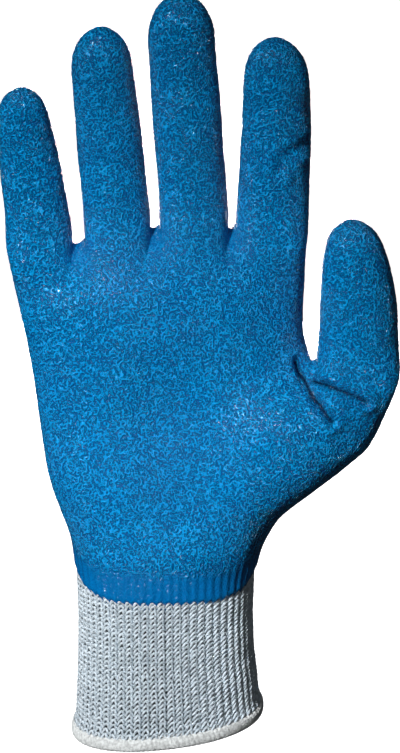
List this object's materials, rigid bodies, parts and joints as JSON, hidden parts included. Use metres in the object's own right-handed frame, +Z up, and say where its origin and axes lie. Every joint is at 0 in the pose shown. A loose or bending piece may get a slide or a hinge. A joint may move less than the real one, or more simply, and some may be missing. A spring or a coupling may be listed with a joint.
{
  "type": "latex coated grip glove",
  "caption": "Right-hand knitted work glove with a crinkled latex palm and fingers, a ribbed knit cuff and an overlocked hem, in its worn shape.",
  "frame": {"origin": "middle of the wrist opening, in the plane of the hem", "axes": "+Z up the hand to the fingertips, -Y out of the palm, +X towards the thumb"},
  "size_m": [0.1355, 0.0518, 0.2557],
  "materials": {
    "knit_liner": "matt grey seamless knit",
    "latex": "blue crinkled latex, satin",
    "knit_cuff": "matt grey ribbed knit",
    "hem_thread": "cream overlock thread"
  },
  "bodies": {
    "root": {"stall_little": "knit_liner", "stall_ring": "knit_liner", "stall_middle": "knit_liner", "stall_index": "knit_liner", "stall_thumb": "knit_liner", "upper_body": "knit_liner", "lower_body": "knit_liner", "latex_coating": "latex", "rib_cuff": "knit_cuff", "overlock_hem": "hem_thread"}
  },
  "joints": []
}
